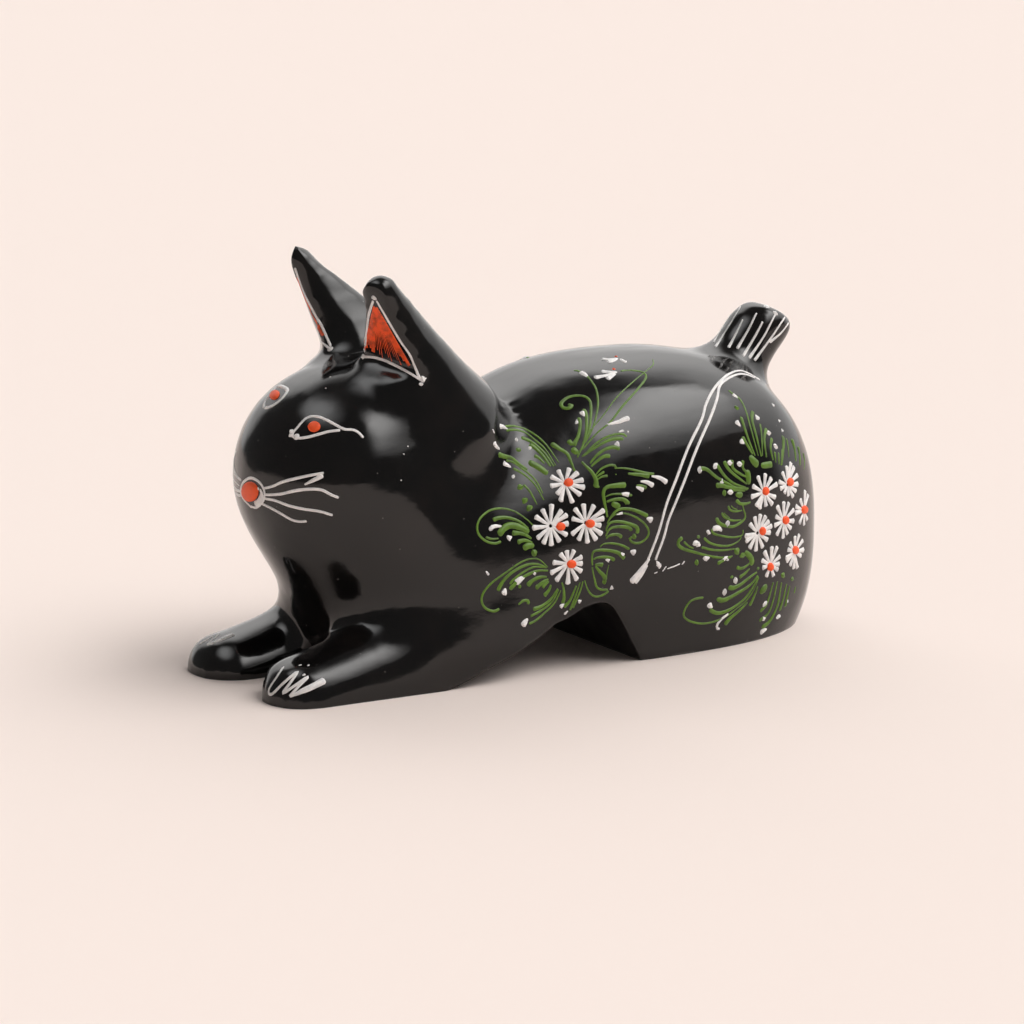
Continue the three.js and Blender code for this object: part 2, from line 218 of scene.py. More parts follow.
# Shoulder flowers: orange heart, the point where the petals meet, then the petal tips
SHOULDER_DAISIES = (
    ((568.5, 482.5), (565, 483.5), (557, 468), (570, 466), (579.6, 471), (585.4, 479.4), (586.8, 488),
     (582.5, 496.3), (573.4, 505), (560, 503.5), (555.6, 495.8), (548.4, 486.2), (548.8, 475.6)),
    ((560.5, 526.6), (550.5, 526), (533.3, 515.3), (541.2, 507), (552, 502), (563, 508.4), (569, 513.5),
     (570.5, 523), (569, 536.2), (560.7, 543.7), (551.4, 548), (542.6, 546), (535.6, 540), (530.5, 528)),
    ((590, 523.6), (585.6, 522.8), (583, 501.6), (595, 503), (606, 508.8), (606, 517.6), (603, 526),
     (603.7, 535.3), (597.4, 542), (587.8, 545.4), (577.7, 542.5), (570, 535.8), (570, 517.7),
     (573.3, 506.5)),
    ((571.4, 564), (568.5, 563.5), (559, 552), (566.3, 548.3), (575, 548), (584, 555.8), (584.4, 563.7),
     (583.5, 572.5), (578, 582), (567.7, 586.4), (554.7, 582.7), (548.6, 574.3), (551, 562.3)),
)
SHOULDER_GREEN = (
    (FINE, (559, 463), (548, 447), (538, 437), (525, 429), (514, 426), (505, 426.4)),
    (FINE, (556, 466), (545, 449), (535, 440), (524, 432), (513, 429.6), (506, 430.5)),
    (STEM, (554, 467), (546, 455), (537, 446), (528, 440), (520, 437)),
    (LEAF, (551, 467), (543, 456), (534, 447), (527.6, 444)),
    (DOT, (515, 450), (522, 449.4)),
    (STEM, (545, 464), (539, 458), (533, 455)),
    (BLOB, (549, 475), (540, 468), (532, 463.5), (526.5, 461.5)),
    (LEAF, (575, 472), (571, 462), (567, 453.5), (559, 448.6), (549.6, 442.4)),
    (LEAF, (580, 425), (578, 437), (572.5, 444), (567, 439)),
    (BLOB, (579.5, 455), (575, 451), (570, 447)),
    (STEM, (575, 446.7), (579.6, 431), (579.8, 421), (577.5, 416.6)),
    (STEM, (582.5, 445.8), (586.3, 431), (586.3, 415), (582.6, 408)),
    (STEM, (577, 458), (584, 443), (589.2, 428.5), (591, 412), (590.2, 401.5), (585, 396.6),
     (576, 395.6), (567, 397.8), (561, 403.4), (562.6, 407.4), (568, 408.4), (572, 405.6), (566.5, 404.6)),
    (FINE, (585, 443), (592, 430), (597, 412), (598, 400), (595.6, 388), (590, 379.4), (585, 374.6),
     (577, 370.6), (573, 371)),
    (HAIR, (579.3, 451.5), (589.6, 431.8), (603, 415.6), (615.6, 398.6), (628.2, 386), (640.7, 375.3),
     (648, 369.4), (653.3, 364.5), (652.6, 359)),
    (FINE, (582, 450), (597, 433), (610.2, 422), (622.8, 405.8), (637.2, 389.6), (645.8, 378),
     (644, 372.8), (636.3, 370.8), (628, 370.2), (619.7, 371.2)),
    (FINE, (581.5, 457), (596, 443.4), (606.7, 437), (617.4, 434), (624, 434.4), (626.8, 437.6)),
    (STEM, (583, 456), (597.7, 446), (609.3, 440), (620, 438.2), (623.6, 441)),
    (STEM, (589.6, 464), (595, 457), (604, 449.7), (614, 447), (621, 449.4)),
    (STEM, (590.6, 467), (597.7, 460.5), (605, 456), (611.6, 456.4)),
    (FINE, (595, 475.7), (601.3, 468.6), (610, 465), (615.6, 466), (615.2, 469)),
    (FINE, (596, 477), (604.9, 471.3)),
    (FINE, (597, 480), (602, 476.6), (608.4, 475.7)),
    (HAIR, (615, 474.6), (617, 474)),
    (FINE, (614, 468.4), (622.8, 468), (634.5, 470), (646, 473), (655, 474)),
    (LEAF, (627.3, 473.5), (637.2, 474.4), (651, 476)),
    (STEM, (636, 485.4), (642, 486), (647.6, 488.6)),
    (LEAF, (581, 461), (586, 466), (591, 471), (595, 477), (596.4, 483), (594.6, 489)),
    (STEM, (596.4, 483), (599, 489)),
    (LEAF, (607.5, 518), (606, 509.8), (604, 500), (603.4, 492), (607, 487), (617, 485.3), (627.7, 484.8)),
    (FINE, (605, 497), (611.3, 494.4), (620, 494), (633, 495.4)),
    (LEAF, (606, 502), (613.3, 499.7), (622.9, 499.2), (627.7, 503), (628.6, 506)),
    (BLOB, (610, 503), (617, 505.6), (619.6, 510)),
    (STEM, (607, 524), (610.4, 517.5), (616.2, 510.8), (622, 508.8), (631.5, 509.3), (641, 512.7),
     (649, 516.7)),
    (FINE, (609, 520), (615.2, 514.6), (623.8, 513.2), (635.4, 517), (645, 524.2), (648.8, 532),
     (646, 538.7), (639.2, 543), (632.5, 542.3), (629.6, 538.7), (633, 536.6)),
    (BLOB, (632, 538), (636.4, 535)),
    (STEM, (606.4, 532), (607, 527), (611.3, 522.3), (621, 521.8), (631.5, 524.7), (637.3, 528),
     (637, 534.8)),
    (STEM, (606, 537), (607, 533), (611.3, 528), (621, 526.6), (629.6, 528), (631.5, 532.4)),
    (STEM, (605.6, 539), (610.4, 535.3), (618, 534.6), (622.6, 538.4)),
    (FINE, (599.8, 547.3), (603.7, 544), (612.3, 543.4), (622, 545.4), (630, 549.6)),
    (STEM, (592.4, 566), (592, 557), (594.5, 551), (606.5, 550.2), (618, 552.8), (625.4, 559.6)),
    (STEM, (593, 560), (596, 558), (603.7, 556.9), (611.3, 558.2), (615.4, 561.4)),
    (LEAF, (594.5, 565), (599, 564.4), (604.4, 565.4)),
    (FINE, (592, 566.5), (593.4, 574), (595, 581), (597, 587.4), (602, 589.8), (608.5, 589.6)),
    (LEAF, (595, 565.6), (600, 572), (604.4, 576.6), (605, 582)),
    (BLOB, (602.5, 581.6), (606.4, 581.4)),
    (HAIR, (609, 564.6), (607, 572), (606.5, 579)),
    (FINE, (584.4, 580), (588.3, 590.6), (594, 596.3), (601.7, 595.6), (609.4, 590.6)),
    (STEM, (561.7, 581.8), (563.6, 589), (564, 599), (561.6, 605)),
    (STEM, (576.5, 585), (570, 600.4), (563, 608)),
    (FINE, (580.2, 581.8), (575.6, 595.7), (569.6, 611)),
    (FINE, (583, 580.9), (580.2, 591), (572.4, 609)),
    (FINE, (548, 567.6), (540, 560), (532, 558.6), (520.8, 562.3), (506, 572.5), (491, 583.6),
     (482.7, 594), (481.8, 602.4), (486, 608.6), (494, 611.2), (500, 608.4)),
    (STEM, (547, 568), (537.5, 564.1), (526.3, 565), (513.3, 571.6), (504, 580), (499.4, 587.4),
     (497.4, 592.2)),
    (FINE, (546, 567.6), (534, 567), (522.6, 572.5), (513, 580), (509.6, 585)),
    (STEM, (548.6, 570.6), (537.5, 570.8), (526.3, 575.3), (517, 581.8), (508.8, 590.4)),
    (LEAF, (547.7, 577), (539.4, 577.2), (532, 581), (526.3, 586.8)),
    (LEAF, (549, 579), (543, 582), (534.6, 589.6)),
    (LEAF, (549.6, 581), (546, 583.5), (541, 588.6)),
    (LEAF, (551, 584), (549, 590), (543, 597)),
    (DOT, (519, 587), (520.4, 586)),
    (STEM, (558, 588), (551.4, 598.5), (542, 606), (532, 610)),
    (FINE, (559, 589), (552.4, 601.3), (542, 610), (530, 616.6)),
    (FINE, (561, 590), (554.2, 603.4), (545, 612.5), (535.6, 620.6), (528.6, 624)),
    (STEM, (518, 605), (523.6, 600.6), (528.4, 601), (527.4, 605.4)),
    (FINE, (536, 529), (530, 522.3), (520.8, 515), (511.5, 510.2), (500.3, 508.3), (489.2, 510.7),
     (480, 518.6), (477, 528), (480, 536.2), (487.3, 541.8), (495.7, 543.4), (501.6, 541)),
    (STEM, (528.6, 529), (520.8, 522.3), (509.6, 517.9), (499.4, 517.7), (492, 520.4)),
    (BLOB, (530.4, 533), (522, 528.4), (513.3, 525.4), (507, 526.4), (502.4, 530), (498, 537)),
    (FINE, (499, 538.4), (492, 539), (485, 537)),
    (LEAF, (532, 539), (522.6, 533.7), (510.5, 533)),
    (LEAF, (533, 543), (524.5, 540.2), (516, 543)),
    (BLOB, (535.6, 546.5), (528.2, 545.7), (521.8, 550)),
    (BROAD, (538, 549.6), (533.8, 553), (529.4, 554.6)),
    (BROAD, (518.4, 482.6), (520.6, 487.6), (523, 491.4)),
    (BROAD, (522, 498), (527.7, 503)),
    (BROAD, (527, 505), (529.4, 508), (532, 511)),
    (FINE, (537.3, 505), (533, 497), (529.6, 491), (523, 484)),
    (FINE, (544, 500.6), (535.4, 485.2), (524, 474.5), (512.5, 468)),
    (FINE, (543, 493.8), (536, 481), (527.7, 472.7), (519, 466.4)),
    (LEAF, (528, 470), (518, 463), (511.3, 457.6), (503, 456), (497.4, 453.6)),
    (FINE, (520, 467), (512, 461.6), (505.6, 460.4)),
)
SHOULDER_WHITE = (
    (DROP, (508, 429.4), (504, 427), (499, 426)),
    (DOT, (515, 439.2), (518, 440)),
    (DOT, (529, 446.8), (531, 448.6)),
    (DROP, (499.8, 449.6), (495.6, 445.4), (493.6, 440.6)),
    (DROP, (511.4, 467.4), (506, 464.4), (502, 462.2)),
    (DOT, (512, 475.6), (514.6, 477.4)),
    (HAIR, (492.6, 429), (494.6, 433.6)),
    (FAT_DROP, (585.4, 417), (582.6, 413), (580, 409.8)),
    (FAT_DROP, (580, 423), (576.6, 422), (573.4, 421)),
    (FAT_DROP, (588, 377.6), (584.6, 374.4), (578.4, 371.4)),
    (FINE, (618.6, 432), (624.4, 430.2)),
    (FINE, (627, 430.4), (629, 433)),
    (FAT_DROP, (613.8, 445.2), (618, 444), (621, 443.6)),
    (DROP, (606, 424.6), (618, 422), (626, 418.6), (631, 418.2)),
    (DROP, (651, 476), (660, 478), (668.4, 483.4)),
    (DROP, (640, 481.4), (647, 482.2), (654.8, 486.6)),
    (DROP, (635.6, 486.6), (640.7, 488.6), (645, 490.8)),
    (DROP, (620, 494), (626, 494.2), (630.8, 495.6)),
    (HAIR, (619.6, 487), (622.6, 483.6), (625, 486)),
    (FAT_DROP, (646, 518), (650, 519.4), (654, 521.4)),
    (FAT_DROP, (629.6, 551), (633, 552), (637, 554)),
    (DROP, (618, 553), (621.6, 554.4), (624.8, 557)),
    (DROP, (605, 559.6), (608, 560), (611, 560.8)),
    (DROP, (609.6, 589.6), (614, 586)),
    (DROP, (564.6, 603), (559.2, 608.4)),
    (FINE, (568.2, 610.6), (563.6, 615)),
    (DROP, (582, 600), (577, 603)),
    (FAT_DROP, (525.6, 576.4), (520.8, 579), (514.2, 584.6)),
    (FAT_DROP, (505.4, 587.4), (504.6, 592), (502.4, 596.6)),
    (DOT, (533.6, 573.4), (535, 572.6)),
    (FAT_DROP, (528.4, 618), (524.6, 622.7), (521.6, 628)),
    (FINE, (485.6, 570.8), (489.4, 575.6)),
    (LEAF, (502.4, 526.6), (495.7, 526), (491, 528), (492.4, 532)),
    (FAT_DROP, (512.6, 536.4), (509, 538), (506, 540)),
    (FINE, (615.8, 514.6), (623.6, 512.8)),
)

# Rump flowers in the same order: heart, meeting point, petal tips
RUMP_DAISIES = (
    ((765.4, 491), (763.7, 492.5), (757, 474), (765.6, 471.4), (772.3, 476), (778.6, 483), (777, 498),
     (773.6, 506), (766.5, 508.5), (758.8, 511), (755, 508), (749.6, 497.6), (751, 485)),
    ((789.8, 482), (787.4, 485), (777.4, 481), (781.4, 470), (786.7, 463.8), (791.2, 460.4), (794.6, 465),
     (798.4, 474), (799, 484), (797, 492), (794, 498.6), (788.6, 498), (783.6, 495), (779, 489.4)),
    ((804, 509.6), (804, 511), (805, 488), (808.4, 493), (799.6, 497.4), (794.6, 505.6), (794, 513),
     (798.6, 525.4), (804, 527.4), (807.6, 521)),
    ((785.3, 520), (783.6, 521), (776.4, 504), (783.8, 499.4), (789.4, 500.4), (795, 508.4), (774.4, 515.6),
     (773, 526.4), (775.6, 537), (783, 540.6), (788, 536), (792, 529.4), (795, 521)),
    ((762.2, 531), (757.4, 533), (748.6, 522.4), (754.4, 514.6), (760.8, 512), (766.8, 514), (770.4, 519.6),
     (773.4, 525), (743.4, 536.6), (744.4, 542.8), (748.4, 550.4), (755.4, 553.4), (763.4, 549.6),
     (769, 541), (772, 532.5)),
    ((795, 550), (794.6, 552), (786.6, 548.8), (789, 541.4), (795, 534), (799.6, 532), (803.6, 539),
     (804.4, 549.6), (801.6, 556.4), (784.4, 559.4), (785.4, 563), (789.4, 568), (793.6, 571), (797.6, 570)),
    ((770, 566.7), (770.6, 565), (760.4, 559.4), (763.6, 549.4), (772, 544.4), (778, 544.4), (781.4, 555),
     (780.6, 564), (779, 570.6), (774, 578), (765.4, 578.8), (761, 568.4)),
)
RUMP_GREEN = (
    (FINE, (758.4, 456.3), (750.8, 428.5), (745.4, 409.6), (739.4, 398.6), (733, 394), (728, 389.8)),
    (BLOB, (737, 411), (736.4, 404.6)),
    (STEM, (755.3, 456.3), (749, 441), (744.5, 427.6), (740.6, 415.6)),
    (STEM, (761.5, 457.2), (756.2, 435.7), (752, 419.5), (752.8, 410)),
    (FINE, (762.5, 456.3), (761.5, 433.9), (759.8, 423)),
    (STEM, (766.5, 458), (764.3, 438.3), (766.8, 427.4)),
    (STEM, (773.2, 460.8), (770.5, 447.3), (772, 437)),
    (FINE, (776, 463), (774.5, 451)),
    (FINE, (779, 465), (778.6, 451.8)),
    (FINE, (781, 466), (782.2, 448.2)),
    (LEAF, (781.6, 466), (783.5, 447), (783, 434.5)),
    (FINE, (789, 458), (788, 447), (786.4, 438)),
    (BROAD, (748.6, 454.5), (754.4, 462), (760, 466)),
    (BLOB, (760, 465.6), (767, 465), (773.4, 463.6)),
    (LEAF, (753, 455), (747.2, 444.8), (741.4, 435.4)),
    (STEM, (749, 488.5), (737, 488), (727, 483), (717, 477.5), (706, 469), (697.4, 469)),
    (STEM, (746.3, 487.8), (733.8, 483.5), (724, 475.2), (716, 463.4)),
    (STEM, (747.3, 484.4), (734.6, 475), (727.6, 468), (723.4, 460)),
    (STEM, (749, 477.8), (741, 474.3), (732.8, 468), (732, 458.6)),
    (STEM, (749, 473.4), (743, 468.6), (742.8, 459)),
    (BLOB, (748.6, 486), (748.4, 477), (746.4, 468)),
    (LEAF, (748, 489.6), (739.6, 488.3), (730, 487.6), (720.4, 485.2), (714.6, 486)),
    (BLOB, (723.6, 493), (725, 493)),
    (FINE, (745.4, 491), (739, 490.6), (732, 490)),
    (BLOB, (744, 494.5), (738, 495), (735.4, 498)),
    (STEM, (751, 502), (746, 503.8), (739.6, 503.4), (735.6, 499)),
    (FINE, (742.5, 510.4), (735, 511.4), (729.4, 509.4), (728.4, 505)),
    (HAIR, (737.7, 509.4), (733.8, 508.5), (731, 505.4)),
    (FINE, (741.5, 520), (732, 520.4), (724.4, 517), (721.4, 512)),
    (HAIR, (730, 518), (726, 515.6), (724, 512.6)),
    (STEM, (742.5, 504.6), (744, 510.4), (745.4, 517), (741.5, 522), (733, 526.6), (724.4, 525.6),
     (718, 522), (716.4, 516.4)),
    (FINE, (743, 529.6), (742.5, 535), (733.8, 537.3), (723.3, 536.3), (713.4, 533.4), (711.6, 528)),
    (FINE, (741.5, 536.3), (738.7, 541), (730, 545.4), (720.4, 545.8), (709.8, 543), (703.4, 537.4)),
    (DOT, (698, 538), (699, 535.6)),
    (FINE, (735, 548.8), (723.3, 550.3), (711.7, 549.8), (701, 547)),
    (STEM, (716, 557), (705, 555), (694, 552), (684, 549), (678.6, 545.4), (679, 540.6), (683.6, 537)),
    (FINE, (694, 548.6), (689, 546.4), (683.4, 541.4)),
    (BROAD, (740, 547), (737, 551), (733.6, 555.4)),
    (FINE, (733, 556), (723.3, 557.8), (711.7, 556.7)),
    (BLOB, (696, 562.8), (697.4, 562.2)),
    (STEM, (731.7, 556.7), (723.3, 560.4), (716.6, 564.4)),
    (BROAD, (742.5, 552), (742.8, 559)),
    (BLOB, (744, 551), (750, 556.4), (752, 561), (749.4, 567)),
    (STEM, (750.4, 562), (746.7, 565.8), (740.6, 568.6), (736, 566.4)),
    (STEM, (750, 568.3), (745, 573.3), (738.6, 578)),
    (DOT, (731.6, 575.4), (732, 578.6)),
    (LEAF, (757.5, 571.7), (749, 577.8), (740.8, 584.4), (733, 588), (727.4, 587)),
    (LEAF, (758.3, 575), (750, 585), (736.7, 593.6), (724.4, 600), (719, 599.4), (718, 596)),
    (STEM, (758.8, 576), (751.7, 589), (743.3, 600), (733.3, 607.5), (725, 611.7), (716.7, 613.2),
     (708.6, 609.2)),
    (FINE, (759, 577), (753, 591), (745, 602), (736, 609), (728.3, 615), (716.7, 620.8), (706.7, 623.3),
     (698.3, 623.3), (689, 620.8), (683.6, 615.6), (685.8, 607.5), (690.8, 601), (698.3, 598.2),
     (704, 597.8)),
    (LEAF, (748, 602), (739, 610.8), (730, 618.3), (723.6, 626)),
    (STEM, (758, 586), (754, 596.7), (749, 607)),
    (BROAD, (768, 583.6), (762.6, 590.6), (761, 596.4)),
    (STEM, (773.3, 581.7), (769, 597.5), (765.8, 605.4), (759.4, 612.4)),
    (STEM, (777.5, 580.8), (773.3, 600), (768.3, 613), (758.4, 621.6)),
    (LEAF, (781.7, 581.7), (777.5, 605), (770, 620.8), (760.4, 628.4)),
    (STEM, (786.7, 583.3), (782.5, 601.7), (779, 612)),
    (STEM, (790, 585), (787.4, 596), (785, 608)),
    (BROAD, (784, 572.6), (781.8, 578)),
    (BLOB, (793, 576), (791.4, 582)),
    (FINE, (795.6, 586), (794, 594)),
    (LEAF, (796, 462), (794.6, 449), (791, 437)),
    (STEM, (800, 466), (799.6, 455), (797.6, 445)),
    (FINE, (804, 470), (804.6, 461), (803, 452)),
    (DOT, (758.6, 566), (757.6, 571)),
)
RUMP_WHITE = (
    (DROP, (738.6, 398.2), (734.4, 395.4), (731, 393.2)),
    (FAT_DROP, (741, 426.6), (738, 423.4), (734.8, 419.2)),
    (FAT_DROP, (755, 414), (757.6, 418), (759.4, 421.6)),
    (BIG_DOT, (768.2, 430.6), (769, 435)),
    (BIG_DOT, (775.8, 444.4), (775.4, 448.4)),
    (DROP, (771.6, 402.6), (775, 407.6)),
    (DROP, (778, 419), (780.8, 423)),
    (DROP, (781.6, 428.6), (783.2, 432.6)),
    (FAT_DROP, (745, 444), (742, 441.6), (739, 438.6)),
    (BIG_DOT, (699, 469.6), (700.6, 470)),
    (BIG_DOT, (717, 467.4), (714, 464.4)),
    (BIG_DOT, (730.2, 461.8), (730.2, 464)),
    (BIG_DOT, (739.6, 463), (739.6, 465)),
    (FAT_DROP, (724.6, 482.8), (721.6, 481.4), (719, 480)),
    (BIG_DOT, (730.4, 490.4), (730.4, 493.8)),
    (BIG_DOT, (726.6, 523.4), (728.4, 524)),
    (FAT_DROP, (722, 532), (719.6, 528.6), (715, 528.4), (714, 533)),
    (FAT_DROP, (711, 534), (707.6, 532.6), (705.6, 534)),
    (FAT_DROP, (701, 546), (698, 544.4), (695.4, 543)),
    (BIG_DOT, (695, 541.6), (696, 544.4)),
    (FAT_DROP, (710.4, 557.2), (705.4, 558.6), (703, 561.8)),
    (DROP, (728.4, 556.4), (724.6, 558.6), (722, 561.2)),
    (DOT, (726.6, 560.4), (728, 558)),
    (BIG_DOT, (734.8, 580.8), (736.2, 580.2)),
    (BIG_DOT, (723.8, 592.2), (725.4, 592)),
    (FAT_DROP, (713, 608), (709.8, 605.6), (708, 602)),
    (LINE, (729, 613.4), (721.7, 619), (717, 625), (717.4, 628.8), (720.4, 628.4)),
    (BIG_DOT, (764.4, 603.4), (765.4, 604.6)),
    (FAT_DROP, (766.8, 615.8), (763.6, 618.4), (761, 621.4)),
    (FAT_DROP, (767.4, 629), (763, 631), (758.8, 634)),
    (BIG_DOT, (778.4, 615), (778, 618.6)),
    (DROP, (788.2, 599), (786.6, 604)),
)

# Back: two daisies cut by the ridge, painted as a few petals each
BACK_WHITE = (
    (PETAL, (617.4, 371.6), (610, 372), (599.4, 371.2)),
    (PETAL, (617.4, 371.9), (606, 375.4), (592.6, 378)),
    (PETAL, (616, 373.4), (610.6, 377), (606, 380)),
    (PETAL, (618, 358), (609, 359.6), (599.6, 359)),
    (PETAL, (618, 358.4), (612, 361.4), (605.4, 362)),
    (PETAL, (620, 358.4), (624, 361.4), (628, 362.6)),
)
BACK_ORANGE = (
    (DOT, (611.6, 369), (616, 369)),
    (DOT, (614, 356.6), (618, 356.4)),
)

# Flank bands, which run from the tail down between the two bunches of flowers
FLANK_BANDS = (
    (LINE, (760, 380), (749, 373.5), (739, 370.5), (728, 374.5), (719.5, 382), (713, 390), (705.9, 404),
     (701.4, 420), (688, 448), (676.3, 479), (667, 503), (660, 528), (654, 545), (645, 566), (634, 580)),
    (LINE, (755, 378), (746, 374.4), (737, 374.4), (727, 379), (719.6, 386), (716.6, 400), (709.5, 419.5),
     (697, 448), (685.2, 479), (676, 502), (668.6, 520), (664, 537), (657, 556), (655.4, 561)),
    (FAT_DROP, (650, 558), (640, 572), (629.6, 584)),
    (FINE, (648, 565), (641, 576.6), (635, 584)),
    (DROP, (656, 561), (658.6, 564), (656.6, 568)),
    (FINE, (656, 563), (661, 565), (658, 569)),
    (HAIR, (654, 573.6), (657.8, 572)),
    (HAIR, (662.4, 571.6), (666.6, 566)),
    (HAIR, (667, 569), (674, 566.4), (680.4, 563.6)),
    (HAIR, (681.6, 565), (684.8, 561)),
)
TAIL_STROKES = (
    (TAIL, (734, 310), (724, 325), (713, 343)),
    (TAIL, (742, 304), (730, 324), (715, 347.5)),
    (TAIL, (743, 319), (736.6, 332), (728, 348.4)),
    (TAIL, (756.7, 312.5), (748, 330), (736.7, 349.4)),
    (TAIL, (763, 321), (754, 338), (742.5, 356.7)),
    (TAIL, (775.4, 314), (764, 336), (749, 358.6)),
    (TAIL, (785, 317), (771, 338), (754, 361)),
    (TAIL, (790, 321), (781, 333), (769, 343)),
    (BLOB, (766, 303.6), (767, 309)),
    (BLOB, (776.4, 309.6), (775, 315)),
)

# Ears: outlines, and the many thin orange strokes inside them
NEAR_EAR_WHITE = (
    (LINE, (373.4, 300), (368.8, 314.6), (366.6, 331), (365.2, 348)),
    (LINE, (376, 300), (388.8, 322), (400.4, 341.5), (410, 355.4), (415.8, 369.4), (420.6, 380)),
    (LINE, (363, 357), (372, 357.2), (385, 360.6), (400.4, 368), (411, 374), (420.4, 379.6)),
    (BLOB, (373.6, 295), (374.2, 301)),
    (BLOB, (361.4, 357), (364.6, 356.8)),
    (DOT, (364.6, 347), (364.4, 350)),
    (BIG_DOT, (422, 379.4), (423.4, 379)),
    (DOT, (421, 383), (421, 385)),
)
FAR_EAR_WHITE = (
    (LINE, (294.6, 267), (303.6, 292), (314, 312.7), (321.6, 326), (331, 347)),
    (BIG_DOT, (329.4, 348), (330.4, 350)),
    (FINE, (318.7, 339.6), (325, 345), (330, 349)),
)
NEAR_EAR_CORNERS = ((374.6, 303), (362.4, 353), (413, 371))
EAR_STROKE_COUNT = 21
FAR_EAR_ORANGE = (
    (FINE, (296.4, 276), (300.6, 288), (306, 301), (311.6, 312)),
    (STEM, (309, 309), (315, 320), (320.6, 331), (325, 338)),
)

# Paws: a zigzag of short strokes on each
PAW_WHITE = (
    (LINE, (284, 666), (276, 678), (268.6, 690), (271.4, 694.4), (284, 682.6), (297.6, 671.4),
     (290, 683), (282.6, 693.4), (295, 685.4), (308.4, 676.4), (298, 687), (289, 697)),
    (FAT_DROP, (289, 697), (306, 689.6), (327, 679.4)),
    (HAIR, (298.4, 665.6), (302, 664.6)),
    (HAIR, (307, 666), (309.6, 664.6)),
    (FINE, (302, 676), (306, 673.6)),
    (LINE, (198.6, 644.6), (209, 638.6), (219.4, 633.4), (212.4, 640), (206.4, 645.4)),
    (FAT_DROP, (206.4, 645.4), (220, 640), (235.6, 633.6)),
)


def view_axes():
    """Right, up and backward directions of the photograph's view."""
    right = Vector((math.cos(VIEW_AZIMUTH), math.sin(VIEW_AZIMUTH), 0))
    level = math.cos(VIEW_ELEVATION)
    back = Vector((
        math.sin(VIEW_AZIMUTH) * level,
        -math.cos(VIEW_AZIMUTH) * level,
        math.sin(VIEW_ELEVATION),
    ))
    return right, back.cross(right), back


def photo_ray(pixel):
    """Eye point and direction of the ray through one photo pixel."""
    right, up, back = view_axes()
    across = (pixel[0] - IMAGE_MIDDLE) / FOCAL_PIXELS
    rise = (IMAGE_MIDDLE - pixel[1]) / FOCAL_PIXELS
    return VIEW_TARGET + back * VIEW_DISTANCE, (right * across + up * rise - back).normalized()


def add_node(tree, kind, settings=None, inputs=None):
    """Add one node, with its settings and its inputs, each a value or the socket that feeds it."""
    node = tree.nodes.new(kind)
    for name, value in (settings or {}).items():
        setattr(node, name, value)
    for name, value in (inputs or {}).items():
        if isinstance(value, bpy.types.NodeSocket):
            tree.links.new(value, node.inputs[name])
        else:
            node.inputs[name].default_value = value
    return node


def opaque(colour):
    """A property's colour with full alpha, as a colour socket takes it."""
    return (*colour, 1)


def per_feature(millimetres):
    """Noise scale on Object coordinates for features of this size."""
    return 1 / (millimetres * MM)


def calculate(tree, operation, first, second):
    """One sum, product or larger of two sockets or values."""
    return add_node(tree, "ShaderNodeMath", {"operation": operation}, {0: first, 1: second}).outputs[0]


def spread(tree, value, low, high, first, last):
    """A socket that goes from the first to the last number while the value goes from low to high."""
    return add_node(tree, "ShaderNodeMapRange", None, {
        "Value": value, 1: low, 2: high, 3: first, 4: last}).outputs[0]


def noise(tree, place, millimetres, detail, roughness=0.5):
    """Noise with features of about this size."""
    return add_node(tree, "ShaderNodeTexNoise", None, {
        "Vector": place, "Scale": per_feature(millimetres), "Detail": detail,
        "Roughness": roughness}).outputs["Fac"]


def blend(tree, share, first, second):
    """A colour that goes from the first to the second with the share."""
    return add_node(tree, "ShaderNodeMix", {"data_type": "RGBA"}, {
        0: share, 6: first, 7: second}).outputs[2]


def relief(tree, height, strength, millimetres, under=None, invert=False):
    """Normals of a shallow relief this deep, laid over another one."""
    inputs = {"Height": height, "Strength": strength, "Distance": millimetres * MM}
    if under is not None:
        inputs["Normal"] = under
    return add_node(tree, "ShaderNodeBump", {"invert": invert}, inputs).outputs[0]


def coat(tree, output, inputs):
    """Lay the surface of a lacquer, a paint or a board on a material."""
    shader = add_node(tree, "ShaderNodeBsdfPrincipled", None, inputs)
    tree.links.new(shader.outputs[0], output.inputs["Surface"])


def new_material(name):
    """An empty material with its output node."""
    material = bpy.data.materials.new(name)
    material.use_nodes = True
    tree = material.node_tree
    tree.nodes.clear()
    return material, tree, add_node(tree, "ShaderNodeOutputMaterial")


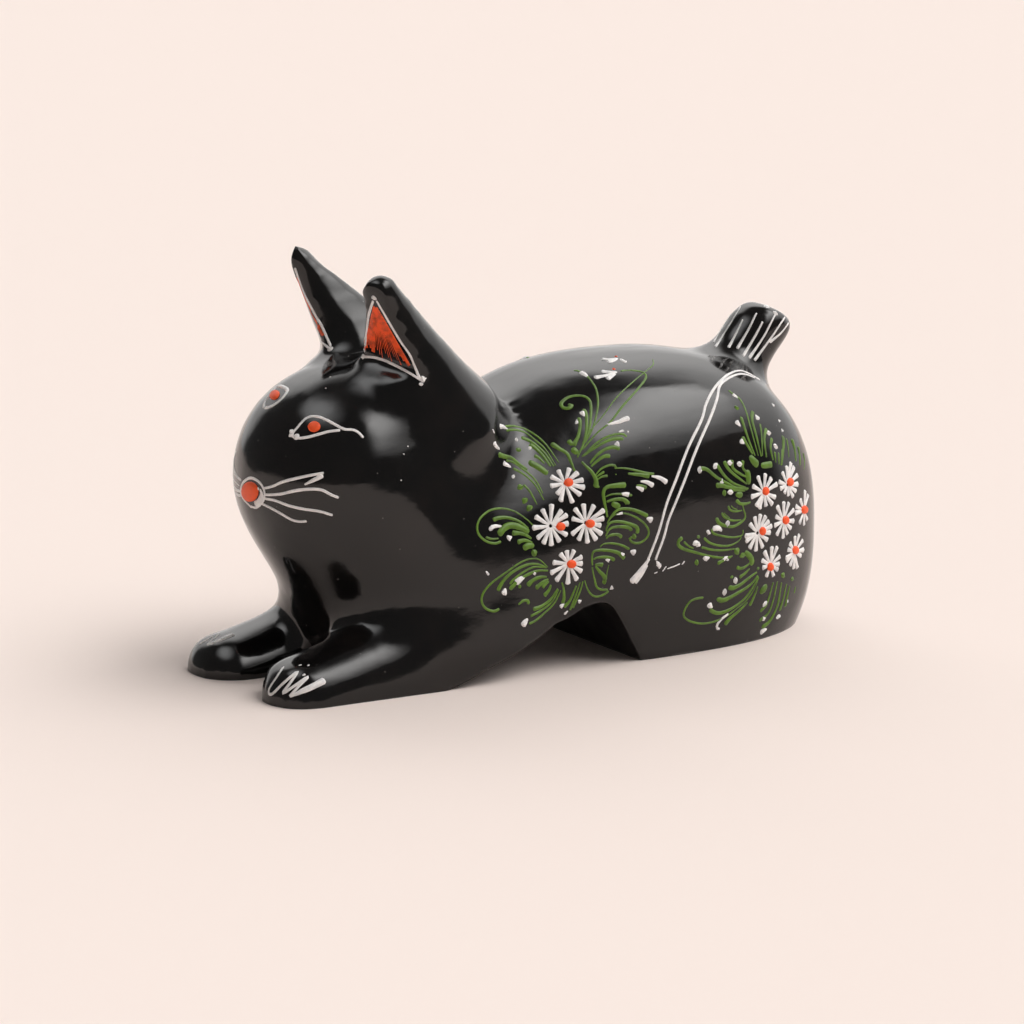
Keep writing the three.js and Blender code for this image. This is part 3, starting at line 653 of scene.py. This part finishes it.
def lacquer_material(colours):
    """Black lacquer brushed over turned and carved wood.

    It is nearly black and mirror-like, with slow waves left by the carving knife under it,
    a fine brushed skin and tiny dust pits.
    """
    material, tree, output = new_material("black_lacquer_on_wood")
    place = add_node(tree, "ShaderNodeTexCoord").outputs["Object"]
    thin_share = spread(tree, noise(tree, place, 9, 4, 0.6), 0.45, 0.75, 0.0, 0.8)
    base = blend(tree, thin_share, opaque(colours.lacquer), opaque(colours.lacquer_worn))

    specks = add_node(tree, "ShaderNodeTexVoronoi", None, {
        "Vector": place, "Scale": per_feature(1.9), "Randomness": 1.0})
    speck_share = spread(tree, specks.outputs["Distance"], 0.035, 0.05, 1.0, 0.0)
    chosen = spread(tree, noise(tree, place, 5, 2), 0.44, 0.56, 0.0, 0.75)
    speck_mask = calculate(tree, "MULTIPLY", speck_share, chosen)
    dusty = blend(tree, speck_mask, base, opaque(colours.dust))
    roughness = spread(tree, noise(tree, place, 3.2, 5, 0.65), 0.3, 0.75, 0.07, 0.17)

    along = add_node(tree, "ShaderNodeMapping", None, {"Vector": place, "Scale": (1, 0.45, 1)}).outputs[0]
    waves = relief(tree, noise(tree, along, 6, 1.5), 0.5, 0.35)
    skin = relief(tree, noise(tree, along, 0.9, 3), 0.25, 0.04, waves)
    pits = relief(tree, speck_mask, 0.4, 0.04, skin, invert=True)
    coat(tree, output, {"Base Color": dusty, "Roughness": roughness, "IOR": 1.5, "Normal": pits})
    return material


def paint_material(name, thick, thin, roughness, thin_share):
    """Acrylic or gouache laid on with a loaded round brush.

    The bead is satin, shows fine bristle ridges, and the black grins through where it is thin.
    """
    material, tree, output = new_material(name)
    place = add_node(tree, "ShaderNodeTexCoord").outputs["Object"]
    share = spread(tree, noise(tree, place, 1.1, 4, 0.6), 0.45, 0.8, 0.0, thin_share)
    tone = blend(tree, share, opaque(thick), opaque(thin))
    ridges = relief(tree, noise(tree, place, 0.22, 2), 0.5, 0.03)
    coat(tree, output, {"Base Color": tone, "Roughness": roughness, "IOR": 1.48, "Normal": ridges})
    return material


def floor_material(colours):
    """Plain pale matt board under the cat."""
    material, tree, output = new_material("pale_matt_board")
    coat(tree, output, {
        "Base Color": opaque(colours.floor), "Roughness": 0.9, "Specular IOR Level": 0.1})
    return material


def paint_for(colour, colours):
    """The material of one paint, made once."""
    name = f"{colour}_acrylic_paint"
    looks = {
        "white": (colours.white, colours.white_thin, 0.4, 0.7),
        "green": (colours.green, colours.green_thin, 0.42, 0.9),
        "orange": (colours.orange, colours.orange_thin, 0.5, 0.5),
        "orange_wash": (colours.orange, colours.orange_wash, 0.45, 1.0),
    }
    return bpy.data.materials.get(name) or paint_material(name, *looks[colour])


def finish_piece(name, mesh, material):
    """Link a mesh as a finished piece of the cat."""
    piece = bpy.data.objects.new(name, mesh)
    bpy.context.collection.objects.link(piece)
    mesh.materials.clear()
    mesh.materials.append(material)
    mesh.shade_smooth()
    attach(piece, "root")
    return piece


def as_mesh(thing, name):
    """The evaluated mesh of an object, which is then removed."""
    bpy.context.view_layer.update()
    shown = thing.evaluated_get(bpy.context.evaluated_depsgraph_get())
    mesh = bpy.data.meshes.new_from_object(shown)
    mesh.name = name
    bpy.data.objects.remove(thing)
    return mesh


def skin_mesh(levels):
    """The carved form with its facets rounded over and its sawn edges kept."""
    carved = bmesh.new()
    carved.from_mesh(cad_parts["carved_cat"].data)
    bmesh.ops.remove_doubles(carved, verts=carved.verts, dist=SKIN_WELD)
    bmesh.ops.join_triangles(
        carved, faces=carved.faces,
        angle_face_threshold=FLAT_PAIR, angle_shape_threshold=SQUARE_PAIR)
    crease = carved.edges.layers.float.new("crease_edge")
    for edge in carved.edges:
        if edge.calc_face_angle(0) > SHARP_EDGE:
            edge[crease] = 1
    mesh = bpy.data.meshes.new("lacquered_body")
    carved.to_mesh(mesh)
    carved.free()
    draft = bpy.data.objects.new("skin_draft", mesh)
    bpy.context.collection.objects.link(draft)
    divide = draft.modifiers.new("divide", "SUBSURF")
    divide.levels = levels
    divide.render_levels = levels
    return as_mesh(draft, "lacquered_body")


def skin_tree():
    """Search tree of the finished skin, which the brush strokes land on."""
    body = bpy.data.objects.get("lacquered_body")
    if body is None:
        raise RuntimeError("the lacquered body has to be made before it is painted")
    skin = bmesh.new()
    skin.from_mesh(body.data)
    tree = BVHTree.FromBMesh(skin)
    skin.free()
    return tree


def smooth_path(points, step):
    """Smooth curve through the given points, sampled about every step."""
    marks = [points[0] * 2 - points[1], *points, points[-1] * 2 - points[-2]]
    path = []
    for before, start, end, after in zip(marks, marks[1:], marks[2:], marks[3:]):
        count = max(2, math.ceil((end - start).length / step))
        for index in range(count):
            share = index / count
            path.append(0.5 * (
                2 * start
                + (end - before) * share
                + (2 * before - 5 * start + 4 * end - after) * share ** 2
                + (3 * start - before - 3 * end + after) * share ** 3
            ))
    return [*path, points[-1]]


def land(tree, pixels):
    """Points and outward normals of the skin where the photo shows these pixels.

    Pixels beyond the outline are left out, and so is what lands on a part of the cat farther behind.
    """
    hits = [tree.ray_cast(*photo_ray(pixel))[:2] for pixel in pixels]
    runs = [[]]
    for point, normal in hits:
        if point is None:
            continue
        if runs[-1] and (point - runs[-1][-1][0]).length > LONGEST_STEP:
            runs.append([])
        runs[-1].append((point, normal))
    return max(runs, key=len)


def across(tree, point):
    """The matching point and normal on the cat's other side."""
    place, normal, _, _ = tree.find_nearest(Vector((-point.x, point.y, point.z)))
    return place, normal


def load_at(widths, share):
    """Painted width at a share of the stroke's length, eased between its three widths."""
    first, second = (widths[0], widths[1]) if share < 0.5 else (widths[1], widths[2])
    part = share * 2 if share < 0.5 else share * 2 - 1
    eased = part * part * (3 - 2 * part)
    return first + (second - first) * eased


def lengthen(places, least):
    """A landed path, drawn out evenly at both ends where it is shorter than this."""
    length = sum((after - before).length for (before, _), (after, _) in zip(places, places[1:]))
    spare = max(0, least - length) / 2
    (start, start_normal), (end, end_normal) = places[0], places[-1]
    outward = (end - start).normalized() * spare
    return [(start - outward, start_normal), *places[1:-1], (end + outward, end_normal)]


def bead(places, widths, sink, step):
    """Rings of one brush stroke: points sunk into the skin and radii, rounded at both ends."""
    visible = math.sqrt(1 - sink * sink)
    start_radius, end_radius = (widths[end] * MM / 2 / visible for end in (0, 2))
    places = lengthen(places, start_radius + end_radius + LEAST_BEAD)
    reach = [0]
    for (before, _), (after, _) in zip(places, places[1:]):
        reach.append(reach[-1] + (after - before).length)
    length = reach[-1]
    inner = length - start_radius - end_radius
    count = max(1, round(inner / step))
    stops = [share * start_radius for share in BEAD_CAP]
    stops += [start_radius + inner * index / count for index in range(count + 1)]
    stops += [length - share * end_radius for share in reversed(BEAD_CAP)]
    rings = []
    segment = 0
    for stop in stops:
        while segment < len(reach) - 2 and reach[segment + 1] < stop:
            segment += 1
        gap = reach[segment + 1] - reach[segment]
        share = min(1, max(0, (stop - reach[segment]) / gap)) if gap else 0
        (point_a, normal_a), (point_b, normal_b) = places[segment], places[segment + 1]
        radius = load_at(widths, stop / length) * MM / 2 / visible
        edge = min(stop, length - stop, radius) / radius
        radius *= math.sqrt(1 - (1 - edge) ** 2)
        normal = normal_a.lerp(normal_b, share).normalized()
        rings.append((point_a.lerp(point_b, share) - normal * sink * radius, radius))
    return rings


def brush(name, strokes, colour, sizes, colours, both_sides=False, sink=None, ring_sides=None):
    """Paint a list of strokes as one piece of round beads half sunk in the lacquer."""
    tree = skin_tree()
    depth = sizes.bead_sink if sink is None else sink
    pixel_step = sizes.stroke_step * FOCAL_PIXELS / VIEW_DISTANCE
    curve = bpy.data.curves.new(name, "CURVE")
    curve.dimensions = "3D"
    curve.bevel_depth = MM
    curve.bevel_resolution = sizes.ring_sides if ring_sides is None else ring_sides
    curve.use_fill_caps = True
    for widths, *pixels in strokes:
        path = smooth_path([Vector(pixel) for pixel in pixels], pixel_step)
        near = land(tree, path)
        if len(near) < 2:
            raise RuntimeError(f"a stroke of {name} lies off the cat at pixel {pixels[0]}")
        sides = [near, [across(tree, point) for point, _ in near]] if both_sides else [near]
        for places in sides:
            rings = bead(places, widths, depth, sizes.stroke_step)
            spline = curve.splines.new("POLY")
            spline.points.add(len(rings) - 1)
            for spot, (centre, radius) in zip(spline.points, rings):
                spot.co = (*centre, 1)
                spot.radius = radius / MM
    draft = bpy.data.objects.new(f"{name}_draft", curve)
    bpy.context.collection.objects.link(draft)
    mesh = as_mesh(draft, name)
    beads = bmesh.new()
    beads.from_mesh(mesh)
    bmesh.ops.remove_doubles(beads, verts=beads.verts, dist=BEAD_WELD)
    bmesh.ops.recalc_face_normals(beads, faces=beads.faces)
    beads.to_mesh(mesh)
    beads.free()
    return finish_piece(name, mesh, paint_for(colour, colours))


def oval(middle, half, turn):
    """Corners of an oval in photo pixels, against the clock as the camera sees them."""
    twist = Matrix.Rotation(math.radians(turn), 2)
    corners = []
    for index in range(POOL_CORNERS):
        angle = 2 * math.pi * index / POOL_CORNERS
        corner = Vector((math.cos(angle) * half[0], -math.sin(angle) * half[1]))
        corners.append(Vector(middle) + twist @ corner)
    return corners


def dome(drops, rings, height):
    """Close the landed rings of one drop of paint, from its rim inward, to a low dome."""
    loops = [
        [drops.verts.new(point + normal * height * share) for point, normal in ring]
        for ring, (_, share) in zip(rings, POOL_RINGS)]
    for outer, inner in zip(loops, loops[1:]):
        for index in range(POOL_CORNERS):
            after = (index + 1) % POOL_CORNERS
            drops.faces.new((outer[index], outer[after], inner[after], inner[index]))
    drops.faces.new(loops[-1])
    drops.faces.new(reversed(loops[0]))


def pools(name, spots, colour, sizes, colours, both_sides=False):
    """Round drops of paint: a low closed dome on the skin over each spot."""
    tree = skin_tree()
    drops = bmesh.new()
    for middle, half, turn in spots:
        rings = [
            land(tree, oval(middle, (half[0] * reach, half[1] * reach), turn)) for reach, _ in POOL_RINGS]
        if any(len(ring) < POOL_CORNERS for ring in rings):
            raise RuntimeError(f"a drop of {name} lies off the cat at pixel {middle}")
        dome(drops, rings, sizes.pool_height)
        if both_sides:
            mirrored = [[across(tree, point) for point, _ in reversed(ring)] for ring in rings]
            dome(drops, mirrored, sizes.pool_height)
    bmesh.ops.recalc_face_normals(drops, faces=drops.faces)
    mesh = bpy.data.meshes.new(name)
    drops.to_mesh(mesh)
    drops.free()
    return finish_piece(name, mesh, paint_for(colour, colours))


def petals(daisies):
    """One stroke for each petal, from near the meeting point out to its tip."""
    root = 0.05
    strokes = []
    for _, meeting, *tips in daisies:
        centre = Vector(meeting)
        for tip in tips:
            outward = Vector(tip) - centre
            strokes.append((PETAL, centre + outward * root, centre + outward * 0.5, Vector(tip)))
    return strokes


def hearts(daisies, half):
    """One orange spot for the heart of each daisy, with half its width and height in photo pixels."""
    return [(heart, half, 0) for heart, *_ in daisies]


def ear_strokes(top, bottom_left, bottom_right, count):
    """Strokes side by side from the tip of the ear to its base, broad at its edges and thin in the middle.

    They start and end by turns at a few different shares of their length, as a hand leaves them.
    """
    first_start, start_stagger = 0.04, 0.05
    last_end, end_stagger = 0.97, 0.06
    left_edge, right_edge = 0.24, 0.8
    strokes = []
    for index in range(count):
        share = (index + 0.5) / count
        foot = Vector(bottom_left).lerp(Vector(bottom_right), share)
        start = Vector(top).lerp(foot, first_start + start_stagger * (index % 3))
        end = start.lerp(foot, last_end - end_stagger * ((index * 7) % 4))
        load = EAR_HAIR if left_edge <= share <= right_edge else STEM
        strokes.append((load, start, start.lerp(end, 0.5), end))
    return strokes


class CAT_OT_camera(bpy.types.Operator):
    """Place the camera at the photograph's viewing angle"""

    bl_idname = "wooden_cat.camera"
    bl_label = "Camera"

    def execute(self, context):
        right, up, back = view_axes()
        lens = bpy.data.cameras.new("photo_camera")
        lens.sensor_width = SENSOR_WIDTH
        lens.lens = SENSOR_WIDTH * FOCAL_PIXELS / IMAGE_SIZE
        lens.clip_start = 0.01
        camera = bpy.data.objects.new("photo_camera", lens)
        camera.location = VIEW_TARGET + back * VIEW_DISTANCE
        camera.rotation_euler = back.to_track_quat("Z", "Y").to_euler()
        context.collection.objects.link(camera)
        context.scene.camera = camera
        return {"FINISHED"}


class CAT_OT_body(bpy.types.Operator):
    """Make the lacquered wooden body over the carved solid"""

    bl_idname = "wooden_cat.body"
    bl_label = "Lacquered body"

    def execute(self, context):
        scene = context.scene
        mesh = skin_mesh(scene.cat_sizes.skin_levels)
        body = finish_piece(
            "lacquered_body", mesh, lacquer_material(scene.cat_colours))
        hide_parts("carved_cat")
        return {"FINISHED"}


class PaintStep:
    """What the painting steps have in common."""

    def execute(self, context):
        self.paint(context.scene.cat_sizes, context.scene.cat_colours)
        return {"FINISHED"}


class CAT_OT_face(PaintStep, bpy.types.Operator):
    """Paint the eyes, nose and whiskers"""

    bl_idname = "wooden_cat.face"
    bl_label = "Face"

    def paint(self, *looks):
        brush("face_lines", FACE_WHITE, "white", *looks)
        pools("nose_and_pupils", FACE_SPOTS, "orange", *looks)
        brush("stray_specks", FACE_SPECKS, "white", *looks)


class CAT_OT_ears(PaintStep, bpy.types.Operator):
    """Outline the ears and brush their insides orange"""

    bl_idname = "wooden_cat.ears"
    bl_label = "Ears"

    def paint(self, *looks):
        brush("ear_outlines", (*NEAR_EAR_WHITE, *FAR_EAR_WHITE), "white", *looks)
        near = ear_strokes(*NEAR_EAR_CORNERS, EAR_STROKE_COUNT)
        brush("ear_brushwork", (*near, *FAR_EAR_ORANGE), "orange_wash", *looks, sink=looks[0].wash_sink)


class CAT_OT_paws(PaintStep, bpy.types.Operator):
    """Paint the zigzag claws on both paws"""

    bl_idname = "wooden_cat.paws"
    bl_label = "Paws"

    def paint(self, *looks):
        brush("paw_zigzags", PAW_WHITE, "white", *looks)


class CAT_OT_shoulder(PaintStep, bpy.types.Operator):
    """Paint the bunch of daisies on each shoulder"""

    bl_idname = "wooden_cat.shoulder"
    bl_label = "Shoulder flowers"

    def paint(self, *looks):
        brush("shoulder_sprays", SHOULDER_GREEN, "green", *looks, both_sides=True)
        brush("shoulder_drops", SHOULDER_WHITE, "white", *looks, both_sides=True, ring_sides=4)
        brush("shoulder_petals", petals(SHOULDER_DAISIES), "white", *looks, both_sides=True)
        pools("shoulder_hearts", hearts(SHOULDER_DAISIES, SHOULDER_HEART), "orange", *looks, both_sides=True)


class CAT_OT_rump(PaintStep, bpy.types.Operator):
    """Paint the bunch of daisies on each side of the rump"""

    bl_idname = "wooden_cat.rump"
    bl_label = "Rump flowers"

    def paint(self, *looks):
        brush("rump_sprays", RUMP_GREEN, "green", *looks, both_sides=True)
        brush("rump_drops", RUMP_WHITE, "white", *looks, both_sides=True, ring_sides=4)
        brush("rump_petals", petals(RUMP_DAISIES), "white", *looks, both_sides=True)
        pools("rump_hearts", hearts(RUMP_DAISIES, RUMP_HEART), "orange", *looks, both_sides=True)


class CAT_OT_bands(PaintStep, bpy.types.Operator):
    """Paint the double flank bands, the tail strokes and the flowers on the back"""

    bl_idname = "wooden_cat.bands"
    bl_label = "Bands, tail and back"

    def paint(self, *looks):
        brush("flank_bands", FLANK_BANDS, "white", *looks, both_sides=True)
        brush("tail_strokes", TAIL_STROKES, "white", *looks)
        brush("back_petals", BACK_WHITE, "white", *looks)
        brush("back_hearts", BACK_ORANGE, "orange", *looks)


class CAT_OT_stage(bpy.types.Operator):
    """Lay the pale floor and set the studio light"""

    bl_idname = "wooden_cat.stage"
    bl_label = "Stage"

    def execute(self, context):
        scene = context.scene
        ground = bmesh.new()
        bmesh.ops.create_grid(ground, x_segments=1, y_segments=1, size=FLOOR_HALF)
        mesh = bpy.data.meshes.new("studio_floor")
        ground.to_mesh(mesh)
        ground.free()
        floor = bpy.data.objects.new("studio_floor", mesh)
        mesh.materials.append(floor_material(scene.cat_colours))
        context.collection.objects.link(floor)
        studio_world(scene)
        head_panel("panel_over_head")
        scene.view_settings.view_transform = "Standard"
        return {"FINISHED"}


def head_panel(name):
    """A dim round diffuser close above the head that fades to its rim. Only the lacquer mirrors it."""
    lamp = bpy.data.lights.new(name, "AREA")
    lamp.shape = "RECTANGLE"
    lamp.size, lamp.size_y = PANEL_SIZE
    lamp.energy = PANEL_WATTS
    lamp.use_nodes = True
    tree = lamp.node_tree
    tree.nodes.clear()
    place = add_node(tree, "ShaderNodeNewGeometry").outputs["Parametric"]
    middle = (0.5, 0.5, 0)
    offset = add_node(tree, "ShaderNodeVectorMath", {"operation": "SUBTRACT"}, {0: place, 1: middle})
    away = add_node(tree, "ShaderNodeVectorMath", {"operation": "LENGTH"}, {0: offset.outputs[0]})
    glow = add_node(tree, "ShaderNodeEmission", None, {
        "Strength": share_between(tree, away.outputs["Value"], *PANEL_FADE)})
    output = add_node(tree, "ShaderNodeOutputLight")
    tree.links.new(glow.outputs[0], output.inputs["Surface"])
    light = bpy.data.objects.new(name, lamp)
    light.location = PANEL_PLACE
    light.visible_diffuse = False
    bpy.context.collection.objects.link(light)


def share_between(tree, value, low, high):
    """A socket that eases from 0 to 1 while the value goes from low to high."""
    return add_node(tree, "ShaderNodeMapRange", {"interpolation_type": "SMOOTHSTEP"}, {
        "Value": value, 1: low, 2: high, 3: 0.0, 4: 1.0}).outputs[0]


def toward(tree, level, azimuth, low, high):
    """A socket that eases from 0 to 1 as a level direction turns toward an azimuth in degrees."""
    angle = math.radians(azimuth)
    middle = Vector((math.sin(angle), -math.cos(angle), 0))
    cosine = add_node(tree, "ShaderNodeVectorMath", {"operation": "DOT_PRODUCT"}, {0: level, 1: middle})
    return share_between(tree, cosine.outputs["Value"], low, high)


def studio_world(scene):
    """Dark room with a pale backdrop behind the cat and a wide soft window high over its left flank."""
    world = bpy.data.worlds.new("soft_studio")
    scene.world = world
    world.use_nodes = True
    tree = world.node_tree
    tree.nodes.clear()
    outward = add_node(tree, "ShaderNodeTexCoord").outputs["Generated"]
    height = add_node(tree, "ShaderNodeSeparateXYZ", None, {0: outward}).outputs["Z"]
    flat = add_node(tree, "ShaderNodeVectorMath", {"operation": "MULTIPLY"}, {0: outward, 1: (1, 1, 0)})
    unit = add_node(tree, "ShaderNodeVectorMath", {"operation": "NORMALIZE"}, {0: flat.outputs[0]})
    level = unit.outputs[0]

    # The window is brightest half way up, and its lower edge is crisp
    window_side = toward(tree, level, *WINDOW_SIDE)
    window_edge = share_between(tree, height, *WINDOW_EDGE)
    window_rise = calculate(tree, "MULTIPLY", share_between(tree, height, *WINDOW_RISE), WINDOW_GAIN)
    window_rise = calculate(tree, "ADD", window_rise, WINDOW_LOW)
    window_fall = share_between(tree, height, *WINDOW_FALL)
    window = window_rise
    for share in (window_fall, window_side, window_edge):
        window = calculate(tree, "MULTIPLY", window, share)

    # The backdrop is brightest at half height, and dark above
    backdrop = calculate(tree, "ADD", share_between(tree, height, *BACKDROP_RISE), BACKDROP_LOW)
    backdrop = calculate(tree, "MULTIPLY", backdrop, share_between(tree, height, *BACKDROP_FALL))
    backdrop = calculate(tree, "MULTIPLY", backdrop, toward(tree, level, *BACKDROP_SIDE))

    strength = calculate(tree, "ADD", calculate(tree, "MAXIMUM", window, backdrop), DARK_ROOM)
    room = add_node(tree, "ShaderNodeBackground", None, {
        "Color": opaque(linear("FFFDFB")), "Strength": strength})
    output = add_node(tree, "ShaderNodeOutputWorld")
    tree.links.new(room.outputs[0], output.inputs["Surface"])


class CAT_PT_panel(bpy.types.Panel):
    """Sidebar panel with the sizes, the colours and the steps"""

    bl_idname = "CAT_PT_panel"
    bl_label = "Painted wooden cat"
    bl_space_type = "VIEW_3D"
    bl_region_type = "UI"
    bl_category = "Wooden cat"

    def draw(self, context):
        for group in (context.scene.cat_sizes, context.scene.cat_colours):
            for name in group.bl_rna.properties.keys():
                if name not in ("rna_type", "name"):
                    self.layout.prop(group, name)
        for step in STEPS:
            self.layout.operator(step.bl_idname)


STEPS = (
    CAT_OT_camera, CAT_OT_body, CAT_OT_face, CAT_OT_ears, CAT_OT_paws,
    CAT_OT_shoulder, CAT_OT_rump, CAT_OT_bands, CAT_OT_stage,
)
CLASSES = (CatSizes, CatColours, *STEPS, CAT_PT_panel)


def register():
    for kind in CLASSES:
        bpy.utils.register_class(kind)
    bpy.types.Scene.cat_sizes = PointerProperty(type=CatSizes)
    bpy.types.Scene.cat_colours = PointerProperty(type=CatColours)


def unregister():
    del bpy.types.Scene.cat_colours
    del bpy.types.Scene.cat_sizes
    for kind in reversed(CLASSES):
        bpy.utils.unregister_class(kind)


def main():
    register()
    bpy.ops.wooden_cat.camera()
    bpy.ops.wooden_cat.body()
    bpy.ops.wooden_cat.face()
    bpy.ops.wooden_cat.ears()
    bpy.ops.wooden_cat.paws()
    bpy.ops.wooden_cat.shoulder()
    bpy.ops.wooden_cat.rump()
    bpy.ops.wooden_cat.bands()
    bpy.ops.wooden_cat.stage()


if __name__ == "__main__":
    main()
